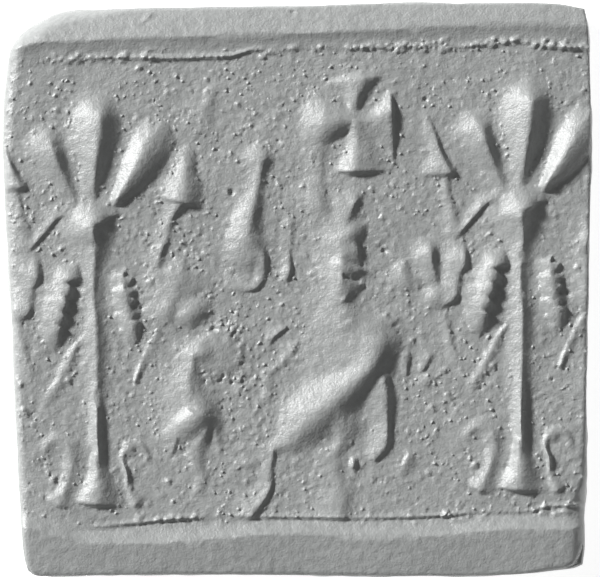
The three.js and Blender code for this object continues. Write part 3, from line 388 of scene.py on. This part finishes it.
# clumps of clay squeezed up along the seams: x from, to, height along y, how many
for xa, xb, yc, many in ((-16.5, -9.5, 15.75, 34), (-2.8, 2.5, 16.3, 26), (3.5, 10.5, 16.55, 60), (12, 17, 16.8, 22), (17.3, 19.9, 16.45, 12), (-12, -6, -15.75, 16), (7, 13, -15.6, 26), (16, 18.5, -15.2, 26)):
    for _ in range(many):
        r = rng.uniform(0.07, 0.24)
        grain.dome(rng.uniform(xa, xb), yc + rng.normal(0, 0.22), r * 1.5, r, rng.uniform(-20, 50), r * 0.7, k=0.034)
HOLES = [(-4.4, 6.6, 0.24, 0.22), (-1.2, 10.1, 0.18, 0.11), (8.8, 12.9, 0.2, 0.2), (6.0, 2.6, 0.24, 0.2)]
for x, y, r, h in HOLES:
    pits.dome(x, y, r, r, 0, h, k=-1)
# a worn, crumbly patch beside the figure
PATCH = (-6.3, -3.6, -6.4, -2.2)  # x from, to, y from, to
px, py = rng.uniform(PATCH[0], PATCH[1], 260), rng.uniform(PATCH[2], PATCH[3], 260)
pr = rng.uniform(0.08, 0.22, 260)
for i in range(260):
    (grain if i % 3 else pits).dome(px[i], py[i], pr[i] * 1.4, pr[i] * 0.8, rng.uniform(0, 180), pr[i] * 0.5, k=0.034 if i % 3 else -1)

height += bare * (np.clip(blurred(grain.z, 0.025), 0, None) + blurred(pits.z, 0.025))
crumbs = np.clip(noise(0.06, 1) - 1.1, 0, None) ** 1.2
height += bare * crumbs * 0.05 * smooth(0.8 + noise(0.7, 0.7))
height += (0.4 + 0.6 * bare) * (noise(0.04, 0.006) + noise(0.1, 0.009)) + noise(0.6, 0.012)
height, band = margins(height)

# marks on the smooth margins: x, y, half width, rise
marks = Raster()
marks.stroke([(-18.6, 17.0, 0.3, 0.02), (-17.2, 17.6, 0.5, 0.07), (-15.6, 18.3, 0.45, 0.06), (-14.2, 18.9, 0.3, 0.02)], a=2, b=1, k=0)
marks.stroke([(-16.8, 17.2, 0.2, 0.01), (-15.2, 18.1, 0.28, 0.03), (-14.0, 18.6, 0.2, 0.01)], a=2, b=1, k=0)
marks.stroke([(-10.8, 17.9, 0.08, 0.02), (-10.2, 18.4, 0.14, 0.06), (-9.7, 18.85, 0.08, 0.03)], a=2, b=1, k=0)
marks.stroke([(-9.9, 17.3, 0.3, 0.01), (-9.2, 17.8, 0.5, 0.04), (-8.5, 18.1, 0.3, 0.01)], a=2, b=1, k=0)
marks.dome(-0.2, 18.85, 0.2, 0.15, 0, 0.1, k=-1)
for x, y in ((5.6, -18.5), (5.9, -18.7), (11.3, -18.3), (11.0, -18.5), (-15.2, -19.1)):
    marks.dome(x, y, 0.16, 0.1, 30, 0.03, k=0)
height += marks.z
height += GROUND

# ---------------------------------------------------------------- slab
# the four sides, each from corner to corner
LEFT = [(-18.85, 17.4), (-19.5, 16.3), (-19.8, 14.2), (-20.0, 10.8), (-19.85, 5.7), (-19.5, 0), (-19.2, -7.5), (-18.8, -15), (-18.5, -18.2), (-18.25, -19.15)]
RIGHT = [(19.65, 19.1), (19.9, 17.6), (20.05, 14.5), (20.1, 9.5), (20.0, 4.7), (19.9, -0.7), (19.8, -7.5), (19.8, -13), (19.68, -15.7), (19.7, -17.4), (19.55, -18.8)]
UPPER = [(-18.85, 17.4), (-17.6, 18.2), (-16.3, 18.8), (-14.7, 19.0), (-11.3, 19.15), (-4.5, 19.25), (0.3, 19.3), (7, 19.5), (11.8, 19.45), (15.2, 19.5), (18, 19.4), (19.65, 19.1)]
LOWER = [(-18.25, -19.15), (-17.8, -19.48), (-16, -19.54), (-6.5, -19.45), (2.3, -19.5), (9.8, -19.56), (13.9, -19.5), (17, -19.25), (19, -19.0), (19.55, -18.8)]
STEPS = 1024
RIM_TURN = 0.86


def side(points):
    """Evenly spaced points on a smooth curve through these."""
    p = np.asarray(points, float)
    q = np.vstack([2 * p[0] - p[1], p, 2 * p[-1] - p[-2]])
    knots = np.concatenate([[0], np.cumsum(np.sqrt(np.hypot(*np.diff(q, axis=0).T)))])
    out = []
    for i in range(1, len(q) - 2):
        t0, t1, t2, t3 = knots[i - 1 : i + 3]
        t = np.linspace(t1, t2, 60, endpoint=False)[:, None]
        a1 = (t1 - t) / (t1 - t0) * q[i - 1] + (t - t0) / (t1 - t0) * q[i]
        a2 = (t2 - t) / (t2 - t1) * q[i] + (t - t1) / (t2 - t1) * q[i + 1]
        a3 = (t3 - t) / (t3 - t2) * q[i + 1] + (t - t2) / (t3 - t2) * q[i + 2]
        b1 = (t2 - t) / (t2 - t0) * a1 + (t - t0) / (t2 - t0) * a2
        b2 = (t3 - t) / (t3 - t1) * a2 + (t - t1) / (t3 - t1) * a3
        out.append((t2 - t) / (t2 - t1) * b1 + (t - t1) / (t2 - t1) * b2)
    out = np.vstack(out + [p[-1:]])
    run = np.concatenate([[0], np.cumsum(np.hypot(*np.diff(out, axis=0).T))])
    even = np.linspace(0, run[-1], STEPS + 1)
    return np.stack([np.interp(even, run, out[:, 0]), np.interp(even, run, out[:, 1])], 1)


low, right, up, left = side(LOWER), side(RIGHT[::-1]), side(UPPER), side(LEFT[::-1])
outline = np.vstack([low[:-1], right[:-1], up[::-1][:-1], left[::-1][:-1]])
# the outward direction round the outline of the edge, which was pressed out by hand
loop = np.arange(len(outline)) / len(outline) * 2 * math.pi
tangent = np.roll(outline, -12, 0) - np.roll(outline, 12, 0)
outward = np.stack([tangent[:, 1], -tangent[:, 0]], 1) / np.hypot(*tangent.T)[:, None]
# radius of the rim's rounding round the loop: lower, right, upper and left side
RIM = [(0, 0.25), (0.9, 0.2), (0.97, 0.5), (1.0, 1.1), (1.12, 1.2), (1.16, 0.5), (1.3, 0.3), (1.9, 0.2), (2.0, 0.15), (2.5, 0.2), (2.8, 0.4), (2.9, 1.2), (3.0, 1.3), (3.06, 1.0), (3.15, 0.7), (3.85, 0.6), (3.95, 0.4), (4.0, 0.25)]
radius = along(RIM, np.arange(len(outline)) / STEPS)
inset = radius * (1 - RIM_TURN)
rim = outline - outward * inset[:, None]
lowr, rightr = rim[: STEPS + 1], rim[STEPS : 2 * STEPS + 1]
upr, leftr = rim[2 * STEPS : 3 * STEPS + 1][::-1], np.vstack([rim[3 * STEPS :], rim[:1]])[::-1]
u, v = np.meshgrid(np.linspace(0, 1, STEPS + 1), np.linspace(0, 1, STEPS + 1))
u, v = u[..., None], v[..., None]
P = lowr[None] * (1 - v) + upr[None] * v + leftr[:, None] * (1 - u) + rightr[:, None] * u
P -= (lowr[0] * (1 - u) + lowr[-1] * u) * (1 - v) + (upr[0] * (1 - u) + upr[-1] * u) * v
PX, PY = P[..., 0], P[..., 1]


def read(z, x, y):
    fx, fy = (x - GX[0]) / CELL, (y - GY[0]) / CELL
    i, j = np.clip(fx.astype(int), 0, len(GX) - 2), np.clip(fy.astype(int), 0, len(GY) - 2)
    s, t = fx - i, fy - j
    return (z[j, i] * (1 - s) + z[j, i + 1] * s) * (1 - t) + (z[j + 1, i] * (1 - s) + z[j + 1, i + 1] * s) * t


PZ = read(height, PX, PY)
turn2 = np.zeros(PX.shape)
cut_corner = (PX < -12) & (PY > 12)
for at, edge, axis in ((slice(0, STEPS + 1), 0, 0), (slice(STEPS, 2 * STEPS + 1), STEPS, 1), (slice(2 * STEPS, 3 * STEPS + 1), STEPS, 0), (slice(3 * STEPS, None), 0, 1)):
    o, n, r = outline[at], outward[at], radius[at]
    if len(o) == STEPS:
        o, n, r = np.vstack([o, outline[:1]]), np.vstack([n, outward[:1]]), np.append(r, radius[0])
    if edge == STEPS and axis == 0 or edge == 0 and axis == 1:
        o, n, r = o[::-1], n[::-1], r[::-1]
    o, n, r = (o[None], n[None], r[None]) if axis == 0 else (o[:, None], n[:, None], r[:, None])
    away = (o[..., 0] - PX) * n[..., 0] + (o[..., 1] - PY) * n[..., 1]
    this = np.clip(1 - away / r, 0, 1) ** 2
    turn2 = np.where(cut_corner, np.maximum(turn2, this), turn2 + this)
    if edge == 0 and axis == 0:
        R = np.broadcast_to(r, PX.shape).copy()
        near = away.copy()
    else:
        R = np.where(away < near, r, R)
        near = np.minimum(near, away)
turned = np.clip(np.sqrt(turn2), 0, RIM_TURN)
PZ = PZ - R * (1 - np.sqrt(1 - turned**2))

# Right-angled triangles are halved where the face isn't true enough yet.
TRUE = 0.0210
S = STEPS
N = S + 1
X, Y, Z = PX.ravel(), PY.ravel(), PZ.ravel()
misfit = np.zeros(N * N)
level = [np.array([[0, 0, S, S, S, 0], [S, S, 0, 0, 0, S]], np.int32)]
for _ in range(19):
    ax, ay, bx, by, cx, cy = level[-1].T
    mx, my = (ax + bx) // 2, (ay + by) // 2
    level.append(np.concatenate([np.stack([cx, cy, ax, ay, mx, my], 1), np.stack([bx, by, cx, cy, mx, my], 1)]))
for depth in range(19, -1, -1):
    ax, ay, bx, by, cx, cy = level[depth].T
    a, b, m = ay * N + ax, by * N + bx, (ay + by) // 2 * N + (ax + bx) // 2
    gap = np.sqrt((X[m] - (X[a] + X[b]) / 2) ** 2 + (Y[m] - (Y[a] + Y[b]) / 2) ** 2 + (Z[m] - (Z[a] + Z[b]) / 2) ** 2)
    on_rim = ((ax == bx) & ((ax == 0) | (ax == S))) | ((ay == by) & ((ay == 0) | (ay == S)))
    gap = np.where(on_rim & (np.abs(ax - bx) + np.abs(ay - by) >= 8), 9.0, gap)
    if depth < 19:
        half = len(level[depth])
        ax, ay, bx, by, cx, cy = level[depth + 1].T
        child = misfit[(ay + by) // 2 * N + (ax + bx) // 2]
        gap = np.maximum(gap, np.maximum(child[:half], child[half:]))
    np.maximum.at(misfit, m, gap)
faces, now = [], level[0]
for depth in range(20):
    ax, ay, bx, by, cx, cy = now.T
    mx, my = (ax + bx) // 2, (ay + by) // 2
    cut = misfit[my * N + mx] > TRUE
    faces.append(now[~cut])
    ax, ay, bx, by, cx, cy, mx, my = (q[cut] for q in (ax, ay, bx, by, cx, cy, mx, my))
    now = np.concatenate([np.stack([cx, cy, ax, ay, mx, my], 1), np.stack([bx, by, cx, cy, mx, my], 1)])
faces = np.concatenate(faces + [now])
del level
tri = np.stack([faces[:, 1] * N + faces[:, 0], faces[:, 3] * N + faces[:, 2], faces[:, 5] * N + faces[:, 4]], 1)
area = (X[tri[:, 1]] - X[tri[:, 0]]) * (Y[tri[:, 2]] - Y[tri[:, 0]]) - (Y[tri[:, 1]] - Y[tri[:, 0]]) * (X[tri[:, 2]] - X[tri[:, 0]])
tri[area < 0] = tri[area < 0][:, [0, 2, 1]]
used, flat = np.unique(tri, return_inverse=True)
tri = flat.reshape(-1, 3)
points = [np.stack([X[used], Y[used], Z[used]], 1)]
place = {int(q): i for i, q in enumerate(used)}

# The wall: on round the rim's edge, down, and in at the foot.
border = [i for i in range(S)] + [j * N + S for j in range(S)] + [S * N + S - i for i in range(S)] + [(S - j) * N for j in range(S)]
kept = [(s, place[q]) for s, q in enumerate(border) if q in place]
at = np.array([s for s, _ in kept])
ring = np.array([i for _, i in kept])
count = len(at)
angle = at / len(border) * 2 * math.pi
top = points[0][ring, 2]
rad, foot_in = radius[at], 0.35
shift = rad * (1 - math.sqrt(1 - RIM_TURN**2))
drop0 = rad * (1 - math.sqrt(1 - RIM_TURN**2))
rings = [ring]
wall_faces = []
total = len(points[0])
wobble = [rng.uniform(0, 2 * math.pi, 6) for _ in range(3)]


def dents(z):
    """Unevenness of the wall, from finger marks: outward, along the loop and the height."""
    d = 0
    for q, (turns, tall, much) in enumerate(((7, 1.3, 0.07), (17, 2.1, 0.045), (41, 3.4, 0.02))):
        for s in range(2):
            d = d + much * np.sin(turns * (1 + s) * angle + tall * z * (1 if s else -0.6) + wobble[q][s]) * np.cos(tall * z + wobble[q][2 + s])
    return d


def add_ring(offset, z, rough):
    global total
    o = offset - rough * dents(z)
    points.append(np.stack([outline[at, 0] - outward[at, 0] * o, outline[at, 1] - outward[at, 1] * o, z], 1))
    rings.append(np.arange(total, total + count))
    total += count


for turn in (0.94, 0.985, 1.0):
    add_ring(rad * (1 - turn), top + drop0 - rad * (1 - math.sqrt(max(0, 1 - turn**2))), (turn - 0.86) * 2)
shoulder = top + drop0 - rad
for t in np.linspace(0.07, 0.93, 9):
    add_ring(np.full(count, 0.02 - 0.22 * math.sin(math.pi * t) ** 0.8 * 0.5), shoulder * (1 - t) + 0.55 * t, 0.4 + 0.6 * math.sin(math.pi * t))
for q in (0.25, 0.5, 0.75, 1.0):
    c = math.cos(q * math.pi / 2)
    add_ring(np.full(count, 0.02 + foot_in * (1 - c)), np.full(count, 0.5 * (1 - math.sin(q * math.pi / 2))), 0.3 * (1 - q))
for hi, lo in zip(rings, rings[1:]):
    nh, nl = np.roll(hi, -1), np.roll(lo, -1)
    wall_faces += [np.stack([hi, lo, nh], 1), np.stack([nh, lo, nl], 1)]
# the back: flat, with a ring inside it so that no triangle is a long sliver
for share in (0.85, 0.6, 0.3):
    middle = points[-1][:, :2] * 0 + points[-1][:, :2] if share == 0.85 else inner
    inner = np.stack([outline[at, 0] * share, outline[at, 1] * share], 1)
    points.append(np.column_stack([inner, np.zeros(count)]))
    rings.append(np.arange(total, total + count))
    total += count
for hi, lo in zip(rings[-4:], rings[-3:]):
    nh, nl = np.roll(hi, -1), np.roll(lo, -1)
    wall_faces += [np.stack([hi, lo, nh], 1), np.stack([nh, lo, nl], 1)]
points.append(np.zeros((1, 3)))
last = rings[-1]
wall_faces.append(np.stack([last, np.full(count, total), np.roll(last, -1)], 1))
vertices = np.vstack(points)
tri = np.vstack([tri] + wall_faces)

# to the frame's place and units
own_lo, own_hi = outline.min(0), outline.max(0)
node_mid = ((node_lo + node_hi) / 2) * 1000
vertices[:, 0] += node_mid.x - (own_lo[0] + own_hi[0]) / 2
vertices[:, 1] += node_mid.y - (own_lo[1] + own_hi[1]) / 2
vertices[:, 2] += node_lo.z * 1000
vertices *= 0.001

mesh = bpy.data.meshes.new("impression")
mesh.vertices.add(len(vertices))
mesh.vertices.foreach_set("co", vertices.astype(np.float32).ravel())
mesh.loops.add(tri.size)
mesh.loops.foreach_set("vertex_index", tri.astype(np.int32).ravel())
mesh.polygons.add(len(tri))
mesh.polygons.foreach_set("loop_start", np.arange(0, tri.size, 3, dtype=np.int32))
mesh.polygons.foreach_set("loop_total", np.full(len(tri), 3, np.int32))
mesh.update(calc_edges=True)
mesh.polygons.foreach_set("use_smooth", np.ones(len(tri), bool))
mesh.validate()
slab = bpy.data.objects.new("impression", mesh)
bpy.context.scene.collection.objects.link(slab)
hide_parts("impression_slab")
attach(slab, "root")
print("triangles", len(tri), "count", count, "z max", vertices[:, 2].max())

# ---------------------------------------------------------------- clay
clay_mat = bpy.data.materials.new("grey_clay")
clay_mat.use_nodes = True
nt = clay_mat.node_tree
nodes, links = nt.nodes, nt.links
bsdf = nodes["Principled BSDF"]
bsdf.inputs["Specular IOR Level"].default_value = 0.9
bsdf.inputs["IOR"].default_value = 1.5
coord = nodes.new("ShaderNodeTexCoord")


def noise_node(scale, detail, rough):
    n = nodes.new("ShaderNodeTexNoise")
    n.inputs["Scale"].default_value = scale
    n.inputs["Detail"].default_value = detail
    n.inputs["Roughness"].default_value = rough
    links.new(coord.outputs["Object"], n.inputs["Vector"])
    return n


def ramp(source, stops):
    r = nodes.new("ShaderNodeValToRGB")
    r.color_ramp.elements[0].position, r.color_ramp.elements[0].color = stops[0][0], (*stops[0][1], 1)
    r.color_ramp.elements[1].position, r.color_ramp.elements[1].color = stops[1][0], (*stops[1][1], 1)
    links.new(source, r.inputs["Fac"])
    return r


broad = noise_node(160, 4, 0.6)
fine = noise_node(2600, 3, 0.6)
tone = ramp(broad.outputs["Fac"], [(0.3, (0.318, 0.328, 0.324)), (0.7, (0.352, 0.362, 0.357))])
speck = ramp(fine.outputs["Fac"], [(0.32, (0.9, 0.9, 0.9)), (0.68, (1.06, 1.06, 1.06))])
mixed = nodes.new("ShaderNodeMix")
mixed.data_type = "RGBA"
mixed.blend_type = "MULTIPLY"
mixed.inputs["Factor"].default_value = 1
links.new(tone.outputs["Color"], mixed.inputs[6])
links.new(speck.outputs["Color"], mixed.inputs[7])
links.new(mixed.outputs[2], bsdf.inputs["Base Color"])
gloss = nodes.new("ShaderNodeMapRange")
gloss.inputs["To Min"].default_value = 0.38
gloss.inputs["To Max"].default_value = 0.5
links.new(broad.outputs["Fac"], gloss.inputs["Value"])
links.new(gloss.outputs["Result"], bsdf.inputs["Roughness"])
skin = noise_node(7000, 3, 0.65)
pores = noise_node(1500, 2, 0.5)
total_bump = nodes.new("ShaderNodeMath")
total_bump.operation = "MULTIPLY_ADD"
total_bump.inputs[1].default_value = 0.45
links.new(skin.outputs["Fac"], total_bump.inputs[0])
links.new(pores.outputs["Fac"], total_bump.inputs[2])
bump = nodes.new("ShaderNodeBump")
bump.inputs["Distance"].default_value = 0.0001
bump.inputs["Strength"].default_value = 0.85
links.new(total_bump.outputs["Value"], bump.inputs["Height"])
links.new(bump.outputs["Normal"], bsdf.inputs["Normal"])
mesh.materials.append(clay_mat)
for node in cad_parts.values():
    for s in node.material_slots:
        s.material = clay_mat

# ---------------------------------------------------------------- floor, light, camera
floor_mesh = bpy.data.meshes.new("floor")
floor_mesh.from_pydata([(-2, -2, 0), (2, -2, 0), (2, 2, 0), (-2, 2, 0)], [], [(0, 1, 2, 3)])
floor = bpy.data.objects.new("floor", floor_mesh)
floor.location.z = node_lo.z - 0.00002
bpy.context.scene.collection.objects.link(floor)
paper = bpy.data.materials.new("white_floor")
paper.use_nodes = True
paper_bsdf = paper.node_tree.nodes["Principled BSDF"]
paper_bsdf.inputs["Base Color"].default_value = (0.9, 0.9, 0.9, 1)
paper_bsdf.inputs["Roughness"].default_value = 0.9
paper_bsdf.inputs["Emission Color"].default_value = (1, 1, 1, 1)
paper_bsdf.inputs["Emission Strength"].default_value = 0.8
floor_mesh.materials.append(paper)

AZIMUTH, HEIGHT = math.radians(149), math.radians(27)
to_light = Vector((math.cos(AZIMUTH) * math.cos(HEIGHT), math.sin(AZIMUTH) * math.cos(HEIGHT), math.sin(HEIGHT)))
key = bpy.data.lights.new("key", "SUN")
key.energy = 5.6
key.angle = math.radians(10)
key_obj = bpy.data.objects.new("key", key)
key_obj.rotation_mode = "QUATERNION"
key_obj.rotation_quaternion = (-to_light).to_track_quat("-Z", "Y")
bpy.context.scene.collection.objects.link(key_obj)
world = bpy.data.worlds.new("studio")
world.use_nodes = True
world.node_tree.nodes["Background"].inputs["Color"].default_value = (1, 1, 1, 1)
world.node_tree.nodes["Background"].inputs["Strength"].default_value = 0.17
bpy.context.scene.world = world
bpy.context.scene.view_settings.view_transform = "Standard"

DISTANCE = 0.3
cam = bpy.data.cameras.new("camera")
cam.sensor_width = 36
cam.lens = 36 * DISTANCE / 0.0408
cam.clip_start, cam.clip_end = 0.01, 10
camera = bpy.data.objects.new("camera", cam)
camera.location = (0.00027 + node_mid.x * 0.001 - (own_lo[0] + own_hi[0]) / 2000, 0.00003 + node_mid.y * 0.001 - (own_lo[1] + own_hi[1]) / 2000, DISTANCE + 0.0065)
bpy.context.scene.collection.objects.link(camera)
bpy.context.scene.camera = camera
